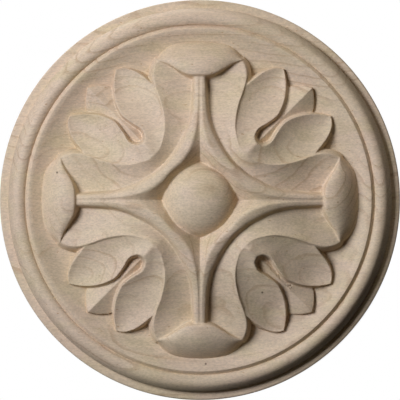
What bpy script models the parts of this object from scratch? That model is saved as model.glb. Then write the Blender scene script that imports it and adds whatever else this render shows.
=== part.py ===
"""A round maple rosette, turned with a moulded rim and carved with a four-petalled flower.

The rosette stands upright with its flat back on the plane Y = 0 and its carving towards -Y.
It is modelled lying on its back, with the carving towards +Z, and then stood up.

The flower is drawn once, from the middle of a petal to the diagonal between two petals, and
mirrored and turned to fill the disc. Its points are (along, across, height): along the middle
of the petal, across it towards the diagonal, and up from the field, in the drawing's own units.
"""
import math

import bmesh
import bpy
import numpy as np

MM = 0.001

# The turned blank
DISC_DIAMETER = 133.4 * MM
FIELD_THICKNESS = 6.6 * MM
RELIEF_HEIGHT = 15.6 * MM
EDGE_HEIGHT = 3.2 * MM
ARRIS_RADIUS = 0.7 * MM
LIP_WIDTH = 2.9 * MM
LIP_FALL = 0.3 * MM
OVOLO_RADIUS = 2.6 * MM
OVOLO_RISE = 1.95 * MM
OVOLO_INNER_WIDTH = 2.05 * MM
OVOLO_OUTER_WIDTH = 3.65 * MM
FLANK_SLOPE = math.radians(52)
STEP_WIDTH = 1.15 * MM
BEAD_WIDTH = 0.65 * MM
BEAD_RISE = 2.2 * MM
COVE_WIDTH = 8.9 * MM
ROUND_STEPS = 64
ARC_STEPS = 4

# The drawing's units: the field's radius and the boss's height above the field
FIELD_UNITS = 142.1
RELIEF_UNITS = 46.8

# The centre boss: its radius, how far its round side sweeps down, how full it is, and its foot
BOSS_RADIUS = 37.5
BOSS_SWEEP = math.radians(68.4)
BOSS_ROUNDNESS = 2.25
BOSS_FLARE = 0.3
BOSS_FOOT_HEIGHT = 18.0
BOSS_STEPS = 32
BOSS_RINGS = 6

# The star's open middle lies inside the hub, under the boss
# Its half arm runs from the diagonal out to the petal's cap
STAR_HUB = 40.0
STAR_VALLEY = ((20.5, 20.5, 24.6), (32, 0, 20.5), (43, 0, 28.4), (57, 0, 34.6), (70, 0, 34.6), (90, 0, 30.2),
               (125, 0, 20.9))
STAR_BROW = ((28.3, 28.3, 40.6), (36.2, 19.2, 40.4), (44.2, 12.6, 40.1), (54, 7.4, 39.3), (68.8, 3.7, 37.3),
             (90.2, 2, 31.1), (125, 1.4, 21.4))
STAR_CREST = ((30, 30, 41.4), (38.4, 21.1, 41.2), (46.2, 14.6, 40.8), (56, 9.6, 39.8), (70.2, 5.3, 37.2),
              (90.4, 3.2, 30.8), (125, 2.6, 21.2))
STAR_SHOULDER = ((33.6, 33.6, 39.4), (42.8, 25.5, 38.8), (50.6, 20, 38), (60, 15, 36.6), (73.1, 9.9, 34),
                 (91.1, 6.6, 28.4), (125, 5.3, 19.4))
STAR_FOOT = ((36.4, 36.4, 31), (45.4, 28.7, 30.6), (52.8, 23.6, 30.3), (61.8, 18.8, 29.4), (74.2, 13.4, 26),
             (91.5, 9.8, 19.4), (125, 8, 8))

# The collar, from under the star's wall out to its raised edge
COLLAR_FOOT = ((32.5, 32.5, 30.6), (45.5, 23, 30.8), (57, 17, 30.4), (70.5, 11.4, 28.2), (84, 8, 23.8),
               (98, 6, 19), (110, 5.2, 15.4), (121, 5, 13.2), (129, 5, 12.4), (135, 5, 11.6))
COLLAR_EDGE = ((45.3, 45.3, 39.5), (52, 39.6, 37.8), (61.5, 36.6, 35.4), (72, 34.8, 33), (84, 35.6, 29.8),
               (97, 38.6, 25.4), (110, 43.2, 20.4), (121.5, 46, 16.2), (131.5, 45.2, 13.2), (138.4, 42, 11.2))
COLLAR_SAG = (0.2, 0.8, 1.2, 1.5, 1.9, 2.2, 2.2, 1.4, 0.6, 0.2)

# The petal's cap, from its lip to the line where it meets the field
CAP_LIP = ((124.4, 0, 25), (124.3, 6.4, 24.6), (125, 12.6, 23.4), (127.4, 18.8, 21.6), (131, 25, 19),
           (135.2, 32, 15.6), (138.8, 41.6, 11.8))
CAP_THROAT = ((120.4, 0, 17), (118, 4.6, 10), (119.4, 9.4, 9.6), (122, 15, 9), (126, 21.4, 8.2),
              (130.6, 28.6, 7.4), (135.8, 39, 7))
CAP_OUTLINE = ((159.3, 0), (159, 9), (158, 18), (156, 26.5), (152.4, 33.2), (147.2, 38.8), (141.2, 43.4))
CAP_ROUNDNESS = 2.2
CAP_LEVEL = 0.1
CAP_REACH = 1.1

# The leaf's two lobes: the outer edge past the collar, and the edge along the diagonal
LEAF_FREE_EDGE = ((118, 51, 15), (124, 58.6, 11.2), (128.8, 66.5, 8.2), (131.2, 75, 6.6))
LEAF_TIP = (130.2, 83.4, 5.8)
LEAF_RIDGE = ((44.2, 44.2, 39), (50, 50, 39.3), (55.8, 55.8, 36.8))
LEAF_EYE_EDGE = ((62.4, 53.8, 33.8), (70.6, 57.4, 30.4), (76.3, 66.5, 27), (83.7, 76.3, 22.8), (92, 81, 18.2),
                 (101, 84, 13.6), (110.5, 85.2, 9.8), (121, 85, 7))
LEAF_SAG = (0, 0.4, 1.1, 2.1, 3.4, 4.7, 5.4, 5.4, 4.8, 3.2, 1.5, 0)

# How far the leaf starts inside the collar's edge and below it, at that edge's second key and on
LEAF_UNDERLAP = ((1, 0.7), (1.1, 0.7), (1.2, 0.7), (1.2, 0.7), (1.2, 0.7), (1.2, 0.7))

# The small middle leaf: its crest on the diagonal (along, height) and its side (along, off it, height)
MIDDLE_CREST = ((74, 26), (92, 24.6), (108, 19.4), (122, 14.4), (135, 12), (145, 11), (152, 10), (156.4, 8.6))
MIDDLE_SIDE = ((74, 11, 17), (94, 14, 13.4), (114, 16, 7.6), (130, 18, 3.4), (142.4, 16.8, 2.8),
               (149.6, 11.6, 4.4), (154.2, 6, 6.2), (156.4, 0, 8.6))

# The walls below every carved edge: how far they lean out and fall, and the least height at the foot
WALL_OUT = {"star": 1.2, "collar": 4.6, "leaf": 3.0, "middle": 2.2, "cap": 1.4}
WALL_FALL = 10.0
WALL_FOOT = 0.1
MITRE_LIMIT = 0.5

# How deep each form is sunk into the blank, as a share of the field's thickness
SUNK_SHARES = {"star": 0.3, "collar": 0.35, "leaf": 0.4, "middle": 0.45, "cap": 0.5, "boss": 0.55}

# Steps from key to key along the rails, and strips between them
RAIL_STEPS = 2
MIDDLE_STEPS = 1
COLLAR_STRIPS = 2
LEAF_STRIPS = 3
MIDDLE_STRIPS = 1
CAP_STRIPS = 4

MERGE_DISTANCE = 1e-6
SHARP_ANGLE = math.radians(32)

MAPLE_COLOUR = (0.47, 0.38, 0.29, 1.0)
MAPLE_ROUGHNESS = 0.6


def clear_scene():
    """Remove the objects that the file opened with."""
    for thing in list(bpy.data.objects):
        bpy.data.objects.remove(thing, do_unlink=True)


def make_collection(name):
    """Add a collection to the scene."""
    collection = bpy.data.collections.new(name)
    bpy.context.scene.collection.children.link(collection)
    return collection


def maple():
    """Bare sanded maple."""
    material = bpy.data.materials.new("maple")
    material.use_nodes = True
    surface = material.node_tree.nodes["Principled BSDF"]
    surface.inputs["Base Color"].default_value = MAPLE_COLOUR
    surface.inputs["Roughness"].default_value = MAPLE_ROUGHNESS
    surface.inputs["Metallic"].default_value = 0.0
    return material


def field_radius():
    """The sunk field ends where the rim's cove begins."""
    ovolo = OVOLO_OUTER_WIDTH + OVOLO_INNER_WIDTH
    return DISC_DIAMETER / 2 - LIP_WIDTH - ovolo - STEP_WIDTH - BEAD_WIDTH - COVE_WIDTH


def arc(centre, radius, start, end, steps):
    """Points on a circular arc, with angles in degrees from +X."""
    angles = np.radians(np.linspace(start, end, steps + 1))
    return [(centre[0] + radius * math.cos(a), centre[1] + radius * math.sin(a)) for a in angles]


def rim_profile():
    """The blank's section: out over the field and the rim, down the edge and back to the axis."""
    field = field_radius()
    bead_inner = field + COVE_WIDTH
    bead_outer = bead_inner + BEAD_WIDTH
    groove = bead_outer + STEP_WIDTH
    ovolo_middle = groove + OVOLO_INNER_WIDTH
    outside = DISC_DIAMETER / 2
    ovolo_height = FIELD_THICKNESS + OVOLO_RISE - OVOLO_RADIUS
    inner_angle = 90 + math.degrees(math.asin(OVOLO_INNER_WIDTH / OVOLO_RADIUS))

    points = [(0.0, FIELD_THICKNESS)]
    for share in np.linspace(0, 1, ARC_STEPS):
        points.append((field + COVE_WIDTH * share, FIELD_THICKNESS + BEAD_RISE * share ** 2))
    points.append((bead_outer, FIELD_THICKNESS + BEAD_RISE))
    outer_angle = 90 - math.degrees(FLANK_SLOPE)
    points += arc((ovolo_middle, ovolo_height), OVOLO_RADIUS, inner_angle, outer_angle, ARC_STEPS + 2)
    flank_width = outside - LIP_WIDTH - points[-1][0]
    points.append((outside - LIP_WIDTH, points[-1][1] - flank_width * math.tan(FLANK_SLOPE)))
    points.append((outside - LIP_WIDTH, EDGE_HEIGHT + LIP_FALL))
    points.append((outside - ARRIS_RADIUS, EDGE_HEIGHT))
    points.append((outside, EDGE_HEIGHT - ARRIS_RADIUS))
    points.append((outside, 0.0))
    points.append((0.0, 0.0))
    return points


def turned(name, points, steps, collection):
    """Turn a section about the Z axis."""
    mesh = bpy.data.meshes.new(name)
    edges = [(i, i + 1) for i in range(len(points) - 1)]
    mesh.from_pydata([(x, 0.0, z) for x, z in points], edges, [])
    thing = bpy.data.objects.new(name, mesh)
    collection.objects.link(thing)
    screw = thing.modifiers.new("turn", "SCREW")
    screw.steps = steps
    screw.render_steps = steps
    screw.use_merge_vertices = True
    screw.merge_threshold = MERGE_DISTANCE
    screw.use_smooth_shade = True
    return thing


def beyond_diagonal(key):
    """A key of a rail mirrored across the diagonal."""
    return (key[1], key[0], key[2])


def beyond_petal(key):
    """A key of a rail mirrored across the petal's middle line."""
    return (key[0], -key[1], key[2])


def spline(keys, steps, mirror=None):
    """A smooth curve with equal steps from key to key, square to a mirror line at its start."""
    ahead = mirror(keys[1]) if mirror else 2 * np.array(keys[0], float) - keys[1]
    keys = np.array(keys, float)
    padded = np.vstack([ahead, keys, 2 * keys[-1] - keys[-2]])
    samples = []
    for index in range(len(keys) - 1):
        before, start, end, after = padded[index:index + 4]
        for t in np.arange(steps) / steps:
            bend = 2 * before - 5 * start + 4 * end - after
            twist = 3 * start - before - 3 * end + after
            samples.append(0.5 * (2 * start + (end - before) * t + bend * t ** 2 + twist * t ** 3))
    samples.append(keys[-1])
    return np.array(samples)


def straight(keys, steps):
    """Straight runs from key to key, with the same number of steps in each."""
    keys = np.array(keys, float)
    places = np.arange((len(keys) - 1) * steps + 1) / steps
    return np.stack([np.interp(places, np.arange(len(keys)), column) for column in keys.T], axis=1)


def across(first, last, steps, sag):
    """Rows of points between two rails, sagging below the straight line between them."""
    rows = []
    for t in np.linspace(0, 1, steps + 1):
        row = first * (1 - t) + last * t
        row[:, 2] -= 4 * t * (1 - t) * sag
        rows.append(row)
    return rows


def star_rows(steps):
    """Half an arm of the star: the valley, the rounded rib beside it and the wall outside."""
    valley = spline(STAR_VALLEY, steps)
    valley[:, :2] = straight(STAR_VALLEY, steps)[:, :2]
    ribs = (STAR_BROW, STAR_CREST, STAR_SHOULDER, STAR_FOOT)
    return [valley] + [spline(rail, steps, beyond_diagonal) for rail in ribs]


def collar_rows(steps, strips):
    """The hollow collar round the star, which runs on into the petals."""
    sag = spline([(value,) for value in COLLAR_SAG], steps)[:, 0]
    foot = spline(COLLAR_FOOT, steps, beyond_diagonal)
    edge = spline(COLLAR_EDGE, steps, beyond_diagonal)
    return across(foot, edge, strips, sag)


def cap_rows(steps, strips):
    """The turned-over end of a petal: its throat, its lip and its round back."""
    lip = spline(CAP_LIP, steps, beyond_petal)
    rows = [spline(CAP_THROAT, steps), lip]
    outline = spline([(along, out, 0.0) for along, out in CAP_OUTLINE], steps, beyond_petal)
    for t in np.linspace(0, CAP_REACH, strips + 1)[1:]:
        row = lip * (1 - t) + outline * t
        turn = max(0.0, (t - CAP_LEVEL) / (1 - CAP_LEVEL))
        row[:, 2] = lip[:, 2] * (1 - turn ** CAP_ROUNDNESS)
        rows.append(row)
    return rows


def leaf_rows(steps, strips):
    """One hollow lobe of a leaf, from under the collar's edge to the edge along the diagonal."""
    under_collar = [(along, out - inside, height - below)
                    for (along, out, height), (inside, below) in zip(COLLAR_EDGE[1:], LEAF_UNDERLAP)]
    outer = spline([LEAF_RIDGE[0]] + under_collar + list(LEAF_FREE_EDGE) + [LEAF_TIP], steps)
    eye_edge = spline([LEAF_RIDGE[-1]] + list(LEAF_EYE_EDGE) + [LEAF_TIP], steps)
    ridge = straight(LEAF_RIDGE, steps)
    inner = np.vstack([ridge[:-1], eye_edge])
    sag = spline([(value,) for value in LEAF_SAG], steps)[:, 0]
    return across(outer, inner, strips, sag)


def middle_rows(steps, strips):
    """Half the small leaf between two lobes, a roof that falls from its crest on the diagonal."""
    half = math.sqrt(0.5)
    crest = spline(MIDDLE_CREST, steps)
    side = spline(MIDDLE_SIDE, steps)
    first = np.stack([crest[:, 0] * half, crest[:, 0] * half, crest[:, 1]], axis=1)
    last = np.stack([(side[:, 0] + side[:, 1]) * half, (side[:, 0] - side[:, 1]) * half, side[:, 2]], axis=1)
    return across(first, last, strips, 0.0)


def add_rows(shape, rows, place):
    """Join rows of points with faces, each point moved by a place function."""
    grid = [[shape.verts.new(place(point)) for point in row] for row in rows]
    for near, far in zip(grid, grid[1:]):
        for a, b, c, d in zip(near, near[1:], far[1:], far):
            shape.faces.new((a, b, c, d))


def to_metres(point):
    """Scale a point of the drawing to the blank, with the field as its ground."""
    plan = field_radius() / FIELD_UNITS
    rise = RELIEF_HEIGHT / RELIEF_UNITS
    return (point[0] * plan, point[1] * plan, FIELD_THICKNESS + point[2] * rise)


def upright(point):
    """A point as drawn, beside the petal's middle line."""
    return to_metres(point)


def over_petal(point):
    """A point mirrored across the petal's middle line."""
    return to_metres((point[0], -point[1], point[2]))


def over_diagonal(point):
    """A point mirrored across the diagonal."""
    return to_metres((point[1], point[0], point[2]))


def turned_by(quarters, place):
    """A place function followed by quarter turns about the middle."""
    cosine = round(math.cos(quarters * math.pi / 2))
    sine = round(math.sin(quarters * math.pi / 2))

    def turned_place(point):
        x, y, z = place(point)
        return (x * cosine - y * sine, x * sine + y * cosine, z)
    return turned_place


def outline_of(shape):
    """The shape's border vertices in order, anticlockwise from above."""
    edges = [edge for edge in shape.edges if edge.is_boundary]
    links = {}
    for edge in edges:
        for vert in edge.verts:
            links.setdefault(vert, []).append(edge.other_vert(vert))
    start = max(links, key=lambda vert: vert.co.xy.length)
    order = [start, links[start][0]]
    while True:
        ahead = [vert for vert in links[order[-1]] if vert is not order[-2]][0]
        if ahead is start:
            break
        order.append(ahead)
    area = sum(a.co.x * b.co.y - b.co.x * a.co.y for a, b in zip(order, order[1:] + order[:1]))
    return order if area > 0 else order[::-1]


def outward_directions(order):
    """For each border vertex, the step outward that keeps the walls parallel to the border."""
    directions = []
    count = len(order)
    for i, vert in enumerate(order):
        before = (vert.co.xy - order[i - 1].co.xy).normalized()
        after = (order[(i + 1) % count].co.xy - vert.co.xy).normalized()
        out_before = (before.y, -before.x)
        out_after = (after.y, -after.x)
        middle = np.add(out_before, out_after)
        share = max(MITRE_LIMIT, np.dot(middle, middle) / 2)
        directions.append(middle / share)
    return directions


def add_walls(shape, lean, underside):
    """Close an open carved surface with walls that lean out and a flat underside in the blank."""
    rise = RELIEF_HEIGHT / RELIEF_UNITS
    top = outline_of(shape)
    leaning = []
    sunk = []
    for vert, direction in zip(top, outward_directions(top)):
        x = vert.co.x + direction[0] * lean
        y = vert.co.y + direction[1] * lean
        z = max(vert.co.z - WALL_FALL * rise, underside + WALL_FOOT * rise)
        leaning.append(shape.verts.new((x, y, z)))
        sunk.append(shape.verts.new((x, y, underside)))
    for upper, lower in ((top, leaning), (leaning, sunk)):
        for i in range(len(top)):
            shape.faces.new((upper[i - 1], lower[i - 1], lower[i], upper[i]))
    shape.faces.new(sunk[::-1])


def fill_under_boss(shape):
    """Close the star's open middle, which the boss covers."""
    hub = STAR_HUB * field_radius() / FIELD_UNITS
    border = [edge for edge in shape.edges if edge.is_boundary]
    inside = [edge for edge in border if all(vert.co.xy.length < hub for vert in edge.verts)]
    bmesh.ops.contextual_create(shape, geom=inside)


def carved(name, kind, rows, places, collection):
    """A closed body under one carved form and its mirrored copies, merged where they meet."""
    shape = bmesh.new()
    for place in places:
        add_rows(shape, rows, place)
    bmesh.ops.remove_doubles(shape, verts=shape.verts, dist=MERGE_DISTANCE)
    if kind == "star":
        fill_under_boss(shape)
    lean = WALL_OUT[kind] * field_radius() / FIELD_UNITS
    add_walls(shape, lean, FIELD_THICKNESS * (1 - SUNK_SHARES[kind]))
    bmesh.ops.recalc_face_normals(shape, faces=shape.faces)
    mesh = bpy.data.meshes.new(name)
    shape.to_mesh(mesh)
    shape.free()
    mesh.shade_smooth()
    mesh.set_sharp_from_angle(angle=SHARP_ANGLE)
    thing = bpy.data.objects.new(name, mesh)
    collection.objects.link(thing)
    return thing


def boss(collection):
    """The centre boss, turned as a full round cap with a short foot."""
    plan = field_radius() / FIELD_UNITS
    rise = RELIEF_HEIGHT / RELIEF_UNITS
    points = []
    power = 2 / BOSS_ROUNDNESS
    curve = BOSS_RADIUS / math.sin(BOSS_SWEEP) ** power
    for angle in np.linspace(0, BOSS_SWEEP, BOSS_RINGS + 1):
        height = RELIEF_UNITS - curve * (1 - math.cos(angle) ** power)
        points.append((curve * math.sin(angle) ** power * plan, FIELD_THICKNESS + height * rise))
    foot = (BOSS_RADIUS + BOSS_FLARE) * plan
    underside = FIELD_THICKNESS * (1 - SUNK_SHARES["boss"])
    points.append((foot, FIELD_THICKNESS + BOSS_FOOT_HEIGHT * rise))
    points.append((foot, underside))
    points.append((0.0, underside))
    return turned("boss", points, BOSS_STEPS, collection)


def flower(collection):
    """Every carved form, as closed bodies that overlap each other and the blank."""
    eighths = [turned_by(q, place) for q in range(4) for place in (upright, over_petal)]
    carved("star", "star", star_rows(RAIL_STEPS), eighths, collection)
    collar = collar_rows(RAIL_STEPS, COLLAR_STRIPS)
    leaf = leaf_rows(RAIL_STEPS, LEAF_STRIPS)
    middle = middle_rows(MIDDLE_STEPS, MIDDLE_STRIPS)
    cap = cap_rows(RAIL_STEPS, CAP_STRIPS)
    for q in range(4):
        beside_diagonal = [turned_by(q, upright), turned_by(q, over_diagonal)]
        beside_petal = [turned_by(q, upright), turned_by(q, over_petal)]
        carved(f"collar_{q}", "collar", collar, beside_diagonal, collection)
        carved(f"leaf_{q}", "leaf", leaf, beside_diagonal, collection)
        carved(f"middle_leaf_{q}", "middle", middle, beside_diagonal, collection)
        carved(f"cap_{q}", "cap", cap, beside_petal, collection)
    boss(collection)


def build():
    """Turn the blank, join the flower to it and stand the rosette up."""
    clear_scene()
    parts = make_collection("wooden_rosette")
    forms = make_collection("carved_forms")
    rosette = turned("rosette", rim_profile(), ROUND_STEPS, parts)
    flower(forms)
    union = rosette.modifiers.new("flower", "BOOLEAN")
    union.operation = "UNION"
    union.solver = "EXACT"
    union.operand_type = "COLLECTION"
    union.collection = forms
    for thing in list(forms.objects):
        thing.hide_render = True
        thing.display_type = "WIRE"
    for thing in [rosette] + list(forms.objects):
        thing.rotation_euler.x = math.pi / 2
    rosette.data.materials.append(maple())


build()
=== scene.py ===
import math

import bmesh
import bpy
import numpy as np
from mathutils import Matrix, Vector


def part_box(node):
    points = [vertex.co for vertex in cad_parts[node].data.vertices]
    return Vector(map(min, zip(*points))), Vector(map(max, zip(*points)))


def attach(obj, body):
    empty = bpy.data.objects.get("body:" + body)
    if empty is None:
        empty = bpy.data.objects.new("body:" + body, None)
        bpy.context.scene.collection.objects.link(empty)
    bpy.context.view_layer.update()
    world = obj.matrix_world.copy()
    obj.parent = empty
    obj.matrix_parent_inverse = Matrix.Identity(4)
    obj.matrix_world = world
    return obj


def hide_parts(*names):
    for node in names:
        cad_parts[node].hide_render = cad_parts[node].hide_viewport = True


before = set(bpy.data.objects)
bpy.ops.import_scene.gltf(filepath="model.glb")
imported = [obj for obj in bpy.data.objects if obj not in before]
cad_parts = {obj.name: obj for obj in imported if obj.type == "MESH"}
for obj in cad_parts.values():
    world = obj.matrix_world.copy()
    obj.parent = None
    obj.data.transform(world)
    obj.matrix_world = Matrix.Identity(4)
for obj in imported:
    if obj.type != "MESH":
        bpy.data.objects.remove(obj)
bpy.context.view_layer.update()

# The frame gives the rosette's radius and depth
LOW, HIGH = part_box("rosette")
RADIUS = (HIGH.x - LOW.x) / 2
DEPTH = HIGH.y - LOW.y

# The turned blank, in metres and radians
MM = 0.001
FIELD_THICKNESS = 6.6 * MM
EDGE_HEIGHT = 3.2 * MM
ARRIS_RADIUS = 0.7 * MM
ARRIS_STEPS = 5
LIP_WIDTH = 2.9 * MM
LIP_FALL = 0.3 * MM
OVOLO_RADIUS = 2.6 * MM
OVOLO_RISE = 1.95 * MM
OVOLO_INNER_WIDTH = 2.05 * MM
OVOLO_OUTER_WIDTH = 3.65 * MM
OVOLO_STEPS = 18
FLANK_SLOPE = math.radians(52)
STEP_WIDTH = 1.15 * MM
BEAD_WIDTH = 0.65 * MM
BEAD_RISE = 2.2 * MM
COVE_WIDTH = 8.9 * MM
COVE_STEPS = 9
FIELD_RADIUS = (RADIUS - LIP_WIDTH - OVOLO_OUTER_WIDTH - OVOLO_INNER_WIDTH
                - STEP_WIDTH - BEAD_WIDTH - COVE_WIDTH)
TURNING_STEPS = 288
TURNING_MERGE = 1e-6

# The flower is drawn in units: so many to the field's radius, and so many to the boss's height
FIELD_UNITS = 142.1
RELIEF_UNITS = 46.8
PLAN = FIELD_RADIUS / FIELD_UNITS
RISE = (DEPTH - FIELD_THICKNESS) / RELIEF_UNITS
SCALE_UP = Matrix.Diagonal((PLAN, PLAN, RISE, 1.0))
PETAL_MIRROR = Matrix.Scale(-1, 4, Vector((0, 1, 0)))
DIAGONAL_MIRROR = Matrix(((0, 1, 0, 0), (1, 0, 0, 0), (0, 0, 1, 0), (0, 0, 0, 1)))

# The centre boss: its sweep is in degrees from the top, a roundness of 2 is a true ball, and the
# flare is how much wider its foot is
BOSS_RADIUS = 37.5
BOSS_SWEEP = 68.4
BOSS_ROUNDNESS = 2.25
BOSS_FLARE = 0.3
BOSS_FOOT_HEIGHT = 18.0
BOSS_RINGS = 27
BOSS_TURNING_STEPS = 96

# The star: a radius round its open middle, how deep its flanks sag, and its rails, with each key
# (along the petal, across it, height above the field)
STAR_HUB = 40.0
STAR_HOLLOW = 0.3
STAR_VALLEY = ((20.5, 20.5, 24.6), (32, 0, 20.5), (43, 0, 28.4), (57, 0, 34.6), (70, 0, 34.6),
               (90, 0, 30.2), (125, 0, 20.9))
STAR_BROW = ((28.3, 28.3, 40.6), (36.2, 19.2, 40.4), (44.2, 12.6, 40.1), (54, 7.4, 39.3),
             (68.8, 3.7, 37.3), (90.2, 2, 31.1), (125, 1.4, 21.4))
STAR_CREST = ((30, 30, 41.4), (38.4, 21.1, 41.2), (46.2, 14.6, 40.8), (56, 9.6, 39.8),
              (70.2, 5.3, 37.2), (90.4, 3.2, 30.8), (125, 2.6, 21.2))
STAR_SHOULDER = ((33.6, 33.6, 39.4), (42.8, 25.5, 38.8), (50.6, 20, 38), (60, 15, 36.6),
                 (73.1, 9.9, 34), (91.1, 6.6, 28.4), (125, 5.3, 19.4))
STAR_FOOT = ((36.4, 36.4, 31), (45.4, 28.7, 30.6), (52.8, 23.6, 30.3), (61.8, 18.8, 29.4),
             (74.2, 13.4, 26), (91.5, 9.8, 19.4), (125, 8, 8))

# Rails of the collar and the petal, and how deep the form sags between them
COLLAR_FOOT = ((32.5, 32.5, 30.6), (45.5, 23, 30.8), (57, 17, 30.4), (70.5, 11.4, 28.2),
               (84, 8, 23.8), (98, 6, 19), (110, 5.2, 15.4), (121, 5, 13.2), (129, 5, 12.4),
               (135, 5, 11.6))
COLLAR_EDGE = ((45.3, 45.3, 39.5), (52, 39.6, 37.8), (61.5, 36.6, 35.4), (72, 34.8, 33),
               (84, 35.6, 29.8), (97, 38.6, 25.4), (110, 43.2, 20.4), (121.5, 46, 16.2),
               (131.5, 45.2, 13.2), (138.4, 42, 11.2))
COLLAR_SAG = (0.2, 0.8, 1.2, 1.5, 1.9, 2.2, 2.2, 1.4, 0.6, 0.2)

# The cap at a petal's end: its lip, the throat under the lip and its outline on the field, then
# how square its back is, how much of it stays level and how far it runs on past the outline
CAP_LIP = ((124.4, 0, 25), (124.3, 6.4, 24.6), (125, 12.6, 23.4), (127.4, 18.8, 21.6),
           (131, 25, 19), (135.2, 32, 15.6), (138.8, 41.6, 11.8))
CAP_THROAT = ((120.4, 0, 17), (118, 4.6, 10), (119.4, 9.4, 9.6), (122, 15, 9),
              (126, 21.4, 8.2), (130.6, 28.6, 7.4), (135.8, 39, 7))
CAP_OUTLINE = ((159.3, 0), (159, 9), (158, 18), (156, 26.5), (152.4, 33.2), (147.2, 38.8),
               (141.2, 43.4))
CAP_ROUNDNESS = 2.2
CAP_LEVEL = 0.1
CAP_REACH = 1.1

# A leaf's lobe: its edges, how deep and how softly it sags, and how far it lies under the collar
LEAF_FREE_EDGE = ((118, 51, 15), (124, 58.6, 11.2), (128.8, 66.5, 8.2), (131.2, 75, 6.6))
LEAF_TIP = (130.2, 83.4, 5.8)
LEAF_RIDGE = ((44.2, 44.2, 39), (50, 50, 39.3), (55.8, 55.8, 36.8))
LEAF_EYE_EDGE = ((62.4, 53.8, 33.8), (70.6, 57.4, 30.4), (76.3, 66.5, 27), (83.7, 76.3, 22.8),
                 (92, 81, 18.2), (101, 84, 13.6), (110.5, 85.2, 9.8), (121, 85, 7))
LEAF_SAG = (0, 0.4, 1.1, 2.1, 3.4, 4.7, 5.4, 5.4, 4.8, 3.2, 1.5, 0)
LEAF_SOFT = (1, 1, 1, 0.6, 0, 0, 0, 0, 0, 0, 0, 0)
LEAF_UNDERLAP = ((1, 0.7), (1.1, 0.7), (1.2, 0.7), (1.2, 0.7), (1.2, 0.7), (1.2, 0.7))

# The middle leaf, along the diagonal: (along, height) of its crest, (along, aside, height) of its side
MIDDLE_CREST = ((74, 26), (92, 24.6), (108, 19.4), (122, 14.4), (135, 12), (145, 11), (152, 10),
                (157.4, 8.4))
MIDDLE_SIDE = ((74, 11, 17), (94, 14, 13.4), (114, 16, 7.6), (130, 18, 3.4), (142.4, 16.8, 2.8),
               (149.6, 11.2, 4.4), (154.4, 5.4, 6.2), (157.4, 0, 8.4))

# Steps from key to key along a rail, strips across each form, and the gap merged at a seam
RAIL_STEPS = 8
STRIPS = {"star": 4, "collar": 14, "leaf": 16, "middle": 8, "cap": 16}
DRAWING_MERGE = 0.002

# Walls below each form's edge: how far they lean out over the fall, less where the edge is low
WALL_OUT = {"star": 0.6, "collar": 5.0, "leaf": 3.2, "middle": 2.2, "cap": 1.2}
WALL_FALL = 10.0
WALL_LOW = 4.0
WALL_HIGH = 10.0
WALL_LEAST = 0.2
WALL_STEPS = 4
WALL_ROUND = 1.3
UNDERSIDE = -5.0
WALL_BOTTOM = UNDERSIDE + 0.5
WALL_BOTTOM_FALL = 0.1

# The finish of the carving
SANDING_VOXEL = 0.2 * MM
SANDING_PASSES = 3
SANDING_FACTOR = 0.5
FACES_KEPT = 0.15
SMOOTH_ANGLE = math.radians(40)

# Lines of the plan that are sanded softer: start, end and reach
SOFT_LINES = (((44, 44), (52, 52), 10), ((124.4, 0), (125.2, 13), 7), ((125.2, 13), (129, 22), 4))
SOFT_LEVELS = 4
SOFT_PASSES = 40

# Torn grain in the lower right leaf's eye; a sway is how far it swings and its radians per unit
TEAR_LINE = ((64, -59), (90, -87))
TEAR_WIDTH = 4.5
TEAR_DEPTH = 0.3 * MM
SPLINTER_PITCH = 1.1
SPLINTER_SWAY = (3.0, 0.37)
SPLINTER_SLANT = (2.0, 0.8)
FIBRE_PITCH = 1.9
FIBRE_SWAY = (1.6, 0.55)
TEAR_STRENGTH = 0.6
TEAR_CHANGE = 0.4
TEAR_CHANGE_PITCH = 0.45
TEAR_CHANGE_START = 4.0

# The maple's colours
MAPLE_PALE = (0.718, 0.560, 0.362, 1.0)
MAPLE_PINK = (0.718, 0.543, 0.369, 1.0)
MAPLE_OLIVE = (0.658, 0.522, 0.300, 1.0)
MAPLE_LINE = (0.420, 0.245, 0.120, 1.0)
MAPLE_FLECK = (0.400, 0.190, 0.070, 1.0)
MAPLE_SPECK = (0.060, 0.035, 0.020, 1.0)

# The maple's noises: scale per metre along X and across it, detail, roughness and shift
GRAIN = {
    "waves": (14, 40, 2.0, 0.45, (0, 0, 0)),
    "ripple": (70, 420, 2.0, 0.5, (0, 0, 0)),
    "rings": (26, 60, 2.0, 0.5, (0, 0, 0)),
    "fine lines": (45, 90, 2.0, 0.5, (0.1, 0.4, 0.7)),
    "pink": (30, 80, 3.0, 0.6, (0, 0, 0)),
    "olive": (50, 130, 3.0, 0.55, (0.3, 0.1, 0.2)),
    "streaks": (110, 600, 3.0, 0.6, (0, 0, 0)),
    "fibres": (900, 2000, 3.0, 0.7, (0, 0, 0)),
    "flecks": (600, 1700, 1.0, 0.5, (0, 0, 0)),
}

# Where each noise starts to show and where it shows fully, and the most that it shows
RINGS_SHOW = (0.36, 0.66)
RINGS_SHARE = 0.42
FINE_SHOW = (0.38, 0.66)
FINE_SHARE = 0.24
PINK_SHOW = (0.38, 0.62)
OLIVE_SHOW = (0.46, 0.70)
OLIVE_SHARE = 0.6
FLECK_SHOW = (0.71, 0.80)
FLECK_SHARE = 0.6

# How the streaks and the fibres change the tone, the roughness and the relief
TONE_SHOW = (0.3, 0.7)
STREAK_TONE = (0.45, 0.545)
FIBRE_TONE = (0.385, 0.615)
ROUGHNESS_SHOW = (0.2, 0.8)
ROUGHNESS = (0.52, 0.68)
SHINE = 0.3
FIBRE_DEPTH = 0.08 * MM
FIBRE_STRENGTH = 0.7

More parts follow.
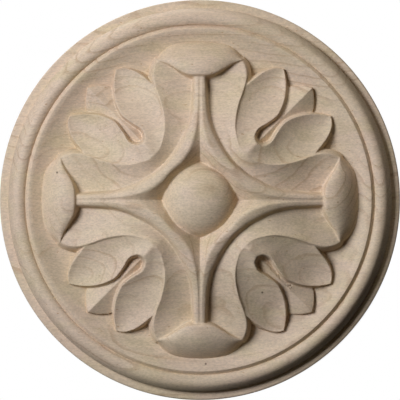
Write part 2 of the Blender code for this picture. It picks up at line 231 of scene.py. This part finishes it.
# Growth rings round a pith behind and below, each line dark over one share of the spacing
RING_SPACING = 2.4 * MM
RING_DARKENS = (0.70, 0.93)
RING_ENDS = (0.95, 1.0)
RING_WANDER = (16 * MM, 0.9 * MM)
PITH_BEHIND = 95 * MM
PITH_BELOW = 31 * MM

# Fine lines along X, tilted with the depth, that wander with the waves and the ripple
FINE_SPACING = 0.9 * MM
FINE_TILT = 0.35
FINE_WANDER = (9 * MM, 0.7 * MM)

# Dark specks in the wood: millimetres to the right and up
SPECKS = ((1.9, -54.4), (20.6, -30.6), (-47.3, 9.1))
SPECK_EDGE = (0.15 * MM, 0.5 * MM)
SPECK_SHARE = 0.8

# Each light's turn round the rosette's face and lift out in front of it, in degrees, then its
# distance, size, watts and colour
LIGHTS = {
    "key": (157, 49, 1.2, 0.54, 12.0, (0.96, 1.015, 1.19)),
    "side": (72, 15, 1.2, 0.5, 2.7, (1.0, 0.96, 0.92)),
    "front": (180, 78, 1.2, 0.4, 0.35, (1.0, 0.9, 0.78)),
    "back": (110, -40, 1.2, 0.7, 9.0, (1.0, 1.0, 1.0)),
}

# The sky is white to the camera, and gives less light from in front than from beside and behind
SKY_SEEN = (1.0, 1.0, 1.0, 1.0)
SKY_IN_FRONT = (0.0045, 0.003, 0.0018, 1.0)
SKY_AT_SIDES = (0.085, 0.087, 0.090, 1.0)
SKY_TURN = (-0.25, 0.15)

# The camera and the floor
CAMERA_DISTANCE = 1.3
SENSOR_WIDTH = 36.0
FLOOR_DROP = 0.45
FLOOR_SIZE = 3.0
FLOOR_COLOUR = (0.8, 0.8, 0.79, 1)
FLOOR_ROUGHNESS = 0.9


def deselect_all():
    """Leave nothing selected, in object mode."""
    if bpy.context.object and bpy.context.object.mode != "OBJECT":
        bpy.ops.object.mode_set(mode="OBJECT")
    bpy.ops.object.select_all(action="DESELECT")


def pick(*things):
    """Select things, the first one active."""
    deselect_all()
    for thing in things:
        thing.select_set(True)
    bpy.context.view_layer.objects.active = things[0]


def apply_modifier(thing, kind, **settings):
    """Add a modifier, set it and apply it."""
    pick(thing)
    modifier = thing.modifiers.new(kind.lower(), kind)
    for key, value in settings.items():
        setattr(modifier, key, value)
    bpy.ops.object.modifier_apply(modifier=modifier.name)


def close_up(thing, gap):
    """Merge a mesh's doubles, then turn its faces out."""
    pick(thing)
    bpy.ops.object.mode_set(mode="EDIT")
    bpy.ops.mesh.select_all(action="SELECT")
    bpy.ops.mesh.remove_doubles(threshold=gap)
    bpy.ops.mesh.normals_make_consistent(inside=False)
    bpy.ops.object.mode_set(mode="OBJECT")


def over_diagonal(key):
    """A key mirrored across the diagonal."""
    return (key[1], key[0], key[2])


def over_petal(key):
    """A key mirrored across the petal's middle line."""
    return (key[0], -key[1], key[2])


def spline(keys, steps, mirror=None):
    """A smooth curve with equal steps from key to key, square to a mirror line at its start."""
    ahead = mirror(keys[1]) if mirror else 2 * np.array(keys[0], float) - keys[1]
    keys = np.array(keys, float)
    padded = np.vstack([ahead, keys, 2 * keys[-1] - keys[-2]])
    samples = []
    for index in range(len(keys) - 1):
        before, start, end, after = padded[index:index + 4]
        for t in np.arange(steps) / steps:
            bend = 2 * before - 5 * start + 4 * end - after
            twist = 3 * start - before - 3 * end + after
            samples.append(0.5 * (2 * start + (end - before) * t + bend * t ** 2 + twist * t ** 3))
    samples.append(keys[-1])
    return np.array(samples)


def straight(keys, steps):
    """Straight runs from key to key, with the same number of steps in each."""
    keys = np.array(keys, float)
    places = np.arange((len(keys) - 1) * steps + 1) / steps
    return np.stack([np.interp(places, np.arange(len(keys)), column) for column in keys.T], axis=1)


def along_rail(values):
    """Single values at the keys of a rail, carried smoothly to its steps."""
    return spline([(value,) for value in values], RAIL_STEPS)[:, 0]


def across(first, last, steps, sag, soft=0.0):
    """Rows of points between two rails, sagging between them, and level at the rails where soft."""
    rows = []
    for t in np.linspace(0, 1, steps + 1):
        row = first * (1 - t) + last * t
        bowl = 4 * t * (1 - t)
        row[:, 2] -= (bowl * (1 - soft) + bowl ** 2 * soft) * sag
        rows.append(row)
    return rows


def star_rows():
    """Half an arm of the star: the valley, the rounded rib beside it and the wall outside."""
    valley = spline(STAR_VALLEY, RAIL_STEPS)
    valley[:, :2] = straight(STAR_VALLEY, RAIL_STEPS)[:, :2]
    rails = (STAR_BROW, STAR_CREST, STAR_SHOULDER, STAR_FOOT)
    rib = [spline(rail, RAIL_STEPS, over_diagonal) for rail in rails]
    flank = across(valley, rib[0], STRIPS["star"], STAR_HOLLOW)
    sections = [spline(section, STRIPS["star"]) for section in np.stack(rib, axis=1)]
    return flank[:-1] + list(np.stack(sections, axis=1))


def collar_rows():
    """The hollow collar round the star, which runs on into the petals."""
    foot = spline(COLLAR_FOOT, RAIL_STEPS, over_diagonal)
    edge = spline(COLLAR_EDGE, RAIL_STEPS, over_diagonal)
    return across(foot, edge, STRIPS["collar"], along_rail(COLLAR_SAG))


def cap_rows():
    """The turned-over end of a petal: its throat, its lip and its round back."""
    lip = spline(CAP_LIP, RAIL_STEPS, over_petal)
    rows = [spline(CAP_THROAT, RAIL_STEPS), lip]
    outline = spline([(along, out, 0.0) for along, out in CAP_OUTLINE], RAIL_STEPS, over_petal)
    for t in np.linspace(0, CAP_REACH, STRIPS["cap"] + 1)[1:]:
        row = lip * (1 - t) + outline * t
        turned = max(0.0, (t - CAP_LEVEL) / (1 - CAP_LEVEL))
        row[:, 2] = lip[:, 2] * (1 - turned ** CAP_ROUNDNESS)
        rows.append(row)
    return rows


def leaf_rows():
    """One hollow lobe of a leaf, from under the collar's edge to the edge along the diagonal."""
    under_collar = [(along, out - inside, height - below)
                    for (along, out, height), (inside, below) in zip(COLLAR_EDGE[1:], LEAF_UNDERLAP)]
    outer_keys = [LEAF_RIDGE[0], *under_collar, *LEAF_FREE_EDGE, LEAF_TIP]
    outer = spline(outer_keys, RAIL_STEPS)
    eye_edge = spline([LEAF_RIDGE[-1], *LEAF_EYE_EDGE, LEAF_TIP], RAIL_STEPS)
    inner = np.vstack([straight(LEAF_RIDGE, RAIL_STEPS)[:-1], eye_edge])
    return across(outer, inner, STRIPS["leaf"], along_rail(LEAF_SAG), along_rail(LEAF_SOFT))


def middle_rows():
    """Half the small leaf between two lobes, a roof that falls from its crest on the diagonal."""
    half = math.sqrt(0.5)
    along, height = spline(MIDDLE_CREST, RAIL_STEPS).T
    crest = np.stack([along * half, along * half, height], axis=1)
    along, aside, height = spline(MIDDLE_SIDE, RAIL_STEPS).T
    side = np.stack([(along + aside) * half, (along - aside) * half, height], axis=1)
    return across(crest, side, STRIPS["middle"], 0.0)


def laid_grid(name, rows):
    """A grid with its points laid on the rows of a drawing."""
    points = np.array(rows)
    deselect_all()
    bpy.ops.mesh.primitive_grid_add(x_subdivisions=points.shape[1] - 1,
                                    y_subdivisions=points.shape[0] - 1)
    sheet = bpy.context.object
    sheet.name = name
    sheet.data.vertices.foreach_set("co", points.reshape(-1))
    return sheet


def copy_of(thing, matrix):
    """A copy with its own mesh, turned or mirrored by a matrix."""
    pick(thing)
    bpy.ops.object.duplicate()
    copy = bpy.context.object
    copy.data.transform(matrix)
    return copy


def joined(things, name):
    """Several things as one mesh, its seams merged."""
    pick(*things)
    bpy.ops.object.join()
    whole = bpy.context.object
    whole.name = name
    close_up(whole, DRAWING_MERGE)
    return whole


def border_loop(shape):
    """The border's vertices in order, anticlockwise from above."""
    links = {}
    for edge in shape.edges:
        if edge.is_boundary:
            for vert in edge.verts:
                links.setdefault(vert, []).append(edge.other_vert(vert))
    start = max(links, key=lambda vert: vert.co.xy.length)
    order = [start, links[start][0]]
    while True:
        ahead = [vert for vert in links[order[-1]] if vert is not order[-2]][0]
        if ahead is start:
            break
        order.append(ahead)
    area = sum(a.co.x * b.co.y - b.co.x * a.co.y for a, b in zip(order, order[1:] + order[:1]))
    return order if area > 0 else order[::-1]


def ways_out(border):
    """The outward direction in plan at each vertex of a border."""
    ways = []
    for i, vert in enumerate(border):
        before = (vert.co.xy - border[i - 1].co.xy).normalized()
        after = (border[(i + 1) % len(border)].co.xy - vert.co.xy).normalized()
        ways.append(Vector((before.y + after.y, -before.x - after.x)).normalized())
    return ways


def wall_ring(shape, top, ways, lean, t):
    """A ring of new vertices at a share of the way down a form's wall."""
    ring = []
    for vert, way in zip(top, ways):
        share = min(1.0, max(WALL_LEAST, (vert.co.z - WALL_LOW) / (WALL_HIGH - WALL_LOW)))
        place = vert.co.xy + way * lean * share * t
        height = max(vert.co.z - WALL_FALL * t ** WALL_ROUND, WALL_BOTTOM - WALL_BOTTOM_FALL * t)
        ring.append(shape.verts.new((place.x, place.y, height)))
    return ring


def walled(sheet, kind):
    """Give an open carved sheet its leaning walls and a flat underside, and scale it to metres."""
    shape = bmesh.new()
    shape.from_mesh(sheet.data)
    # The star's arms leave its middle open, under the boss
    if kind == "star":
        inner = [edge for edge in shape.edges if edge.is_boundary
                 and all(vert.co.xy.length < STAR_HUB for vert in edge.verts)]
        bmesh.ops.contextual_create(shape, geom=inner)
    top = border_loop(shape)
    ways = ways_out(top)
    rings = [top]
    for t in np.linspace(0, 1, WALL_STEPS + 1)[1:]:
        rings.append(wall_ring(shape, top, ways, WALL_OUT[kind], t))
    rings.append([shape.verts.new((vert.co.x, vert.co.y, UNDERSIDE)) for vert in rings[-1]])
    for upper, lower in zip(rings, rings[1:]):
        for i in range(len(top)):
            shape.faces.new((upper[i - 1], lower[i - 1], lower[i], upper[i]))
    shape.faces.new(rings[-1][::-1])
    bmesh.ops.recalc_face_normals(shape, faces=shape.faces)
    shape.to_mesh(sheet.data)
    shape.free()
    sheet.data.transform(SCALE_UP)
    return sheet


def carved(kind, rows):
    """A form drawn once, mirrored and turned to its places round the middle."""
    turns = [Matrix.Rotation(math.radians(90 * quarter), 4, "Z") for quarter in range(1, 4)]
    mirror = PETAL_MIRROR if kind in ("star", "cap") else DIAGONAL_MIRROR
    half = laid_grid(kind, rows)
    pair = joined([half, copy_of(half, mirror)], kind)
    if kind == "star":
        arms = [pair] + [copy_of(pair, turn) for turn in turns]
        return [walled(joined(arms, kind), kind)]
    walled(pair, kind)
    return [pair] + [copy_of(pair, turn) for turn in turns]


def spun(name, profile, steps):
    """A solid of revolution about the axis, spun from its profile."""
    mesh = bpy.data.meshes.new(name)
    corners = [(x, 0.0, z) for x, z in profile]
    mesh.from_pydata(corners, [(i, i + 1) for i in range(len(corners) - 1)], [])
    thing = bpy.data.objects.new(name, mesh)
    bpy.context.scene.collection.objects.link(thing)
    pick(thing)
    bpy.ops.object.mode_set(mode="EDIT")
    bpy.ops.mesh.select_all(action="SELECT")
    bpy.ops.mesh.spin(steps=steps, angle=2 * math.pi, center=(0, 0, 0), axis=(0, 0, 1), dupli=False)
    close_up(thing, TURNING_MERGE)
    return thing


def arc(centre, radius, start, end, steps):
    """Points on a circular arc, with angles in degrees from the outward direction."""
    angles = np.radians(np.linspace(start, end, steps + 1))
    return [(centre[0] + radius * math.cos(a), centre[1] + radius * math.sin(a)) for a in angles]


def blank_profile():
    """The turned blank's section, from the middle of the field round to the middle of the back."""
    bead_outer = FIELD_RADIUS + COVE_WIDTH + BEAD_WIDTH
    ovolo_middle = bead_outer + STEP_WIDTH + OVOLO_INNER_WIDTH
    ovolo_height = FIELD_THICKNESS + OVOLO_RISE - OVOLO_RADIUS
    inner_angle = 90 + math.degrees(math.asin(OVOLO_INNER_WIDTH / OVOLO_RADIUS))
    outer_angle = 90 - math.degrees(FLANK_SLOPE)
    wall_radius = RADIUS - LIP_WIDTH
    points = [(0.0, FIELD_THICKNESS)]
    for share in np.linspace(0, 1, COVE_STEPS + 1):
        points.append((FIELD_RADIUS + COVE_WIDTH * share, FIELD_THICKNESS + BEAD_RISE * share ** 2))
    points.append((bead_outer, FIELD_THICKNESS + BEAD_RISE))
    points += arc((ovolo_middle, ovolo_height), OVOLO_RADIUS, inner_angle, outer_angle, OVOLO_STEPS)
    flank_top = points[-1]
    flank_width = wall_radius - flank_top[0]
    points.append((wall_radius, flank_top[1] - flank_width * math.tan(FLANK_SLOPE)))
    points.append((wall_radius, EDGE_HEIGHT + LIP_FALL))
    arris = (RADIUS - ARRIS_RADIUS, EDGE_HEIGHT - ARRIS_RADIUS)
    points += arc(arris, ARRIS_RADIUS, 90, 0, ARRIS_STEPS)
    points.append((RADIUS, 0.0))
    points.append((0.0, 0.0))
    return points


def boss():
    """The centre boss, a cap of a slightly squared ball on a short foot."""
    points = []
    power = 2 / BOSS_ROUNDNESS
    curve = BOSS_RADIUS / math.sin(math.radians(BOSS_SWEEP)) ** power
    for angle in np.radians(np.linspace(0, BOSS_SWEEP, BOSS_RINGS + 1)):
        height = RELIEF_UNITS - curve * (1 - math.cos(angle) ** power)
        points.append((curve * math.sin(angle) ** power * PLAN, height * RISE))
    foot_radius = (BOSS_RADIUS + BOSS_FLARE) * PLAN
    points.append((foot_radius, BOSS_FOOT_HEIGHT * RISE))
    points.append((foot_radius, UNDERSIDE * RISE))
    points.append((0.0, UNDERSIDE * RISE))
    return spun("boss", points, BOSS_TURNING_STEPS)


def vertex_places(body):
    """The places of a body's vertices, a row for each."""
    places = np.empty(len(body.data.vertices) * 3, np.float32)
    body.data.vertices.foreach_get("co", places)
    return places.reshape(-1, 3)


def soften(body):
    """Sand the leaf bases and the petals' lips softer, along short lines of the plan."""
    place = np.abs(vertex_places(body)[:, :2]) / PLAN
    place = np.stack([place.max(axis=1), place.min(axis=1)], axis=1)
    weights = np.zeros(len(place))
    for start, end, reach in SOFT_LINES:
        way = np.subtract(end, start)
        share = np.clip((place - start) @ way / (way @ way), 0, 1)
        distance = np.hypot(*(place - start - share[:, None] * way).T)
        weights = np.maximum(weights, 1 - distance / reach)
    group = body.vertex_groups.new(name="soft")
    for level in range(1, SOFT_LEVELS + 1):
        chosen = np.nonzero(np.ceil(weights * SOFT_LEVELS) == level)[0]
        group.add([int(index) for index in chosen], level / SOFT_LEVELS, "REPLACE")
    apply_modifier(body, "SMOOTH", factor=SANDING_FACTOR, iterations=SOFT_PASSES, vertex_group="soft")
    body.vertex_groups.clear()


def sway(place, swing, pitch):
    """A swing to and fro with the place."""
    return swing * np.sin(pitch * place)


def tear(body):
    """Tear the grain along a line, in splinters that run with it."""
    points = vertex_places(body)
    start, end = np.array(TEAR_LINE, float)
    length = np.hypot(*(end - start))
    ahead = (end - start) / length
    away = points[:, :2] / PLAN - start
    along = away @ ahead
    aside = away @ (-ahead[1], ahead[0])
    distance = np.hypot(aside, along - np.clip(along, 0, length))
    splinters = np.sin(SPLINTER_PITCH * along + sway(along, *SPLINTER_SWAY) + sway(aside, *SPLINTER_SLANT))
    fibres = np.sin(FIBRE_PITCH * aside + sway(along, *FIBRE_SWAY))
    strength = TEAR_STRENGTH + TEAR_CHANGE * np.sin(TEAR_CHANGE_PITCH * along + TEAR_CHANGE_START)
    fade = np.clip(1 - distance / TEAR_WIDTH, 0, 1)
    points[:, 2] += fade * (splinters * (fibres * strength)) * TEAR_DEPTH
    body.data.vertices.foreach_set("co", points.reshape(-1))
    body.data.update()


def flower():
    """All the carved forms as one sanded body."""
    forms = carved("star", star_rows()) + carved("collar", collar_rows())
    forms += carved("leaf", leaf_rows()) + carved("middle", middle_rows())
    forms += carved("cap", cap_rows()) + [boss()]
    pick(*forms)
    bpy.ops.object.join()
    body = bpy.context.object
    apply_modifier(body, "REMESH", mode="VOXEL", voxel_size=SANDING_VOXEL, adaptivity=0.0)
    apply_modifier(body, "SMOOTH", factor=SANDING_FACTOR, iterations=SANDING_PASSES)
    soften(body)
    tear(body)
    apply_modifier(body, "DECIMATE", decimate_type="COLLAPSE", ratio=FACES_KEPT)
    body.data.transform(Matrix.Translation((0, 0, FIELD_THICKNESS)))
    return body


def rosette():
    """The turned blank with the flower joined to it, stood up."""
    blank = spun("carved_rosette", blank_profile(), TURNING_STEPS)
    carving = flower()
    apply_modifier(blank, "BOOLEAN", operation="UNION", solver="EXACT", object=carving)
    bpy.data.objects.remove(carving)
    blank.data.transform(Matrix.Rotation(math.radians(90), 4, "X"))
    return blank


class Nodes:
    """Short words for building a material's nodes."""

    def __init__(self, tree):
        self.tree = tree

    def feed(self, socket, value):
        """Give an input a value, or another node's output."""
        if isinstance(value, bpy.types.NodeSocket):
            self.tree.links.new(value, socket)
        else:
            socket.default_value = value

    def add(self, kind, inputs=(), **settings):
        """A node with its settings and inputs."""
        node = self.tree.nodes.new(kind)
        for key, value in settings.items():
            setattr(node, key, value)
        for key, value in dict(inputs).items():
            self.feed(node.inputs[key], value)
        return node

    def math(self, operation, first, second=0.0, third=0.0):
        """The output of a maths node."""
        node = self.add("ShaderNodeMath", {0: first, 1: second, 2: third}, operation=operation)
        return node.outputs[0]

    def product(self, first, second):
        """Two values multiplied."""
        return self.math("MULTIPLY", first, second)

    def mapped(self, vector, scale, location=(0, 0, 0)):
        """A vector scaled and moved."""
        node = self.add("ShaderNodeMapping", {"Vector": vector, "Scale": scale, "Location": location})
        return node.outputs[0]

    def noise(self, vector, detail, roughness):
        """The output of a noise texture, about 0 to 1."""
        node = self.add("ShaderNodeTexNoise", {"Vector": vector, "Scale": 1.0, "Detail": detail,
                                               "Roughness": roughness})
        return node.outputs["Fac"]

    def spread(self, value, span, result=(0.0, 1.0)):
        """A value carried from one range to another, smoothly and clamped."""
        node = self.add("ShaderNodeMapRange",
                        {"Value": value, "From Min": span[0], "From Max": span[1],
                         "To Min": result[0], "To Max": result[1]},
                        interpolation_type="SMOOTHSTEP")
        return node.outputs["Result"]

    def mix(self, share, first, second, blend="MIX"):
        """Two colours mixed."""
        node = self.add("ShaderNodeMix", {0: share, 6: first, 7: second},
                        data_type="RGBA", blend_type=blend)
        return node.outputs[2]


def wandering(wood, value, wander, grain):
    """A value that wanders with the waves and the ripple of the grain."""
    by_waves, by_ripple = wander
    rippled = wood.math("MULTIPLY_ADD", grain["ripple"], by_ripple, value)
    return wood.math("MULTIPLY_ADD", grain["waves"], by_waves, rippled)


def growth_lines(wood, parts, grain):
    """Where the growth rings cut the surface, 0 to 1."""
    back = wood.math("SUBTRACT", PITH_BEHIND, parts["Y"])
    below = wood.math("ADD", parts["Z"], PITH_BELOW)
    from_pith = wood.math("SQRT", wood.math("ADD", wood.product(back, back), wood.product(below, below)))
    wandered = wandering(wood, from_pith, RING_WANDER, grain)
    ring = wood.math("FRACT", wood.math("DIVIDE", wandered, RING_SPACING))
    line = wood.product(wood.spread(ring, RING_DARKENS), wood.spread(ring, RING_ENDS, (1.0, 0.0)))
    return wood.product(line, wood.spread(grain["rings"], RINGS_SHOW))


def fine_lines(wood, parts, grain):
    """The fine lines along the board, 0 to 0.5."""
    tilted = wood.math("MULTIPLY_ADD", parts["Y"], FINE_TILT, parts["Z"])
    wandered = wandering(wood, tilted, FINE_WANDER, grain)
    line = wood.math("PINGPONG", wood.math("DIVIDE", wandered, FINE_SPACING), 0.5)
    return wood.product(line, wood.spread(grain["fine lines"], FINE_SHOW))


def bare_maple():
    """Sanded maple: pale ground, growth lines, fibres along X, flecks and specks."""
    material = bpy.data.materials.new("bare_maple")
    material.use_nodes = True
    tree = material.node_tree
    wood = Nodes(tree)
    place = wood.add("ShaderNodeTexCoord").outputs["Object"]
    parts = wood.add("ShaderNodeSeparateXYZ", {"Vector": place}).outputs
    grain = {}
    for name, (lengthwise, crosswise, detail, roughness, shift) in GRAIN.items():
        stretched = wood.mapped(place, (lengthwise, crosswise, crosswise), shift)
        grain[name] = wood.noise(stretched, detail, roughness)

    rings = wood.product(growth_lines(wood, parts, grain), RINGS_SHARE)
    fine = wood.product(fine_lines(wood, parts, grain), FINE_SHARE)
    colour = wood.mix(wood.spread(grain["pink"], PINK_SHOW), MAPLE_PALE, MAPLE_PINK)
    colour = wood.mix(wood.spread(grain["olive"], OLIVE_SHOW, (0.0, OLIVE_SHARE)), colour, MAPLE_OLIVE)
    colour = wood.mix(rings, colour, MAPLE_LINE)
    colour = wood.mix(fine, colour, MAPLE_LINE)

    streaks = wood.spread(grain["streaks"], TONE_SHOW, STREAK_TONE)
    fibres = wood.spread(grain["fibres"], TONE_SHOW, FIBRE_TONE)
    tone = wood.math("ADD", streaks, fibres)
    grey = wood.add("ShaderNodeCombineColor", {0: tone, 1: tone, 2: tone}).outputs[0]
    colour = wood.mix(1.0, colour, grey, "MULTIPLY")
    colour = wood.mix(wood.spread(grain["flecks"], FLECK_SHOW, (0.0, FLECK_SHARE)), colour, MAPLE_FLECK)

    front = wood.mapped(place, (1, 0, 1))
    for right, up in SPECKS:
        speck = {0: front, 1: (right * MM, 0, up * MM)}
        gap = wood.add("ShaderNodeVectorMath", speck, operation="DISTANCE").outputs["Value"]
        colour = wood.mix(wood.spread(gap, SPECK_EDGE, (SPECK_SHARE, 0.0)), colour, MAPLE_SPECK)

    relief = {"Height": grain["fibres"], "Distance": FIBRE_DEPTH, "Strength": FIBRE_STRENGTH}
    surface = tree.nodes["Principled BSDF"].inputs
    wood.feed(surface["Base Color"], colour)
    wood.feed(surface["Roughness"], wood.spread(grain["fibres"], ROUGHNESS_SHOW, ROUGHNESS))
    wood.feed(surface["Specular IOR Level"], SHINE)
    wood.feed(surface["Normal"], wood.add("ShaderNodeBump", relief).outputs["Normal"])
    return material


def studio_light(name, turn, lift, distance, size, watts, colour):
    """A round soft light aimed at the rosette, turned anticlockwise from its right."""
    turn = math.radians(turn)
    lift = math.radians(lift)
    way = Vector((math.cos(turn) * math.cos(lift), -math.sin(lift), math.sin(turn) * math.cos(lift)))
    light = bpy.data.lights.new(name, "AREA")
    light.shape = "DISK"
    light.size = size
    light.energy = watts
    light.color = colour
    lamp = bpy.data.objects.new(name, light)
    lamp.location = way * distance
    lamp.rotation_euler = way.to_track_quat("Z", "Y").to_euler()
    bpy.context.scene.collection.objects.link(lamp)


def camera_in_front():
    """The camera straight in front, with the rim's edge just filling the picture."""
    scene = bpy.context.scene
    rim_edge = EDGE_HEIGHT - ARRIS_RADIUS
    eye = bpy.data.cameras.new("camera")
    eye.sensor_width = SENSOR_WIDTH
    eye.lens = SENSOR_WIDTH / 2 * (CAMERA_DISTANCE - rim_edge) / RADIUS
    camera = bpy.data.objects.new("camera", eye)
    camera.location = (0, -CAMERA_DISTANCE, 0)
    camera.rotation_euler = (math.radians(90), 0, 0)
    scene.collection.objects.link(camera)
    scene.camera = camera


def studio_sky():
    """A sky that is white where it is seen, and dim in front of the rosette."""
    world = bpy.data.worlds.new("studio")
    bpy.context.scene.world = world
    world.use_nodes = True
    sky = Nodes(world.node_tree)
    seen = sky.add("ShaderNodeLightPath").outputs["Is Camera Ray"]
    way = sky.add("ShaderNodeTexCoord").outputs["Generated"]
    behind = sky.add("ShaderNodeSeparateXYZ", {"Vector": way}).outputs["Y"]
    lit = sky.mix(sky.spread(behind, SKY_TURN), SKY_IN_FRONT, SKY_AT_SIDES)
    sky.feed(world.node_tree.nodes["Background"].inputs["Color"], sky.mix(seen, lit, SKY_SEEN))


def pale_floor():
    """A pale floor well below, which throws no light back on the rosette."""
    deselect_all()
    bpy.ops.mesh.primitive_plane_add(size=FLOOR_SIZE, location=(0, 0, -FLOOR_DROP))
    floor = bpy.context.object
    floor.name = "floor"
    paint = bpy.data.materials.new("pale_floor")
    paint.use_nodes = True
    surface = paint.node_tree.nodes["Principled BSDF"]
    surface.inputs["Base Color"].default_value = FLOOR_COLOUR
    surface.inputs["Roughness"].default_value = FLOOR_ROUGHNESS
    floor.data.materials.append(paint)
    floor.visible_diffuse = False
    floor.visible_glossy = False


def studio():
    """The camera, the lights, the sky and the floor."""
    camera_in_front()
    for name, values in LIGHTS.items():
        studio_light(name, *values)
    studio_sky()
    pale_floor()
    bpy.context.scene.view_settings.view_transform = "Standard"


piece = rosette()
pick(piece)
bpy.ops.object.shade_smooth_by_angle(angle=SMOOTH_ANGLE)
piece.data.materials.clear()
piece.data.materials.append(bare_maple())
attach(piece, "root")
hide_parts("rosette")
studio()
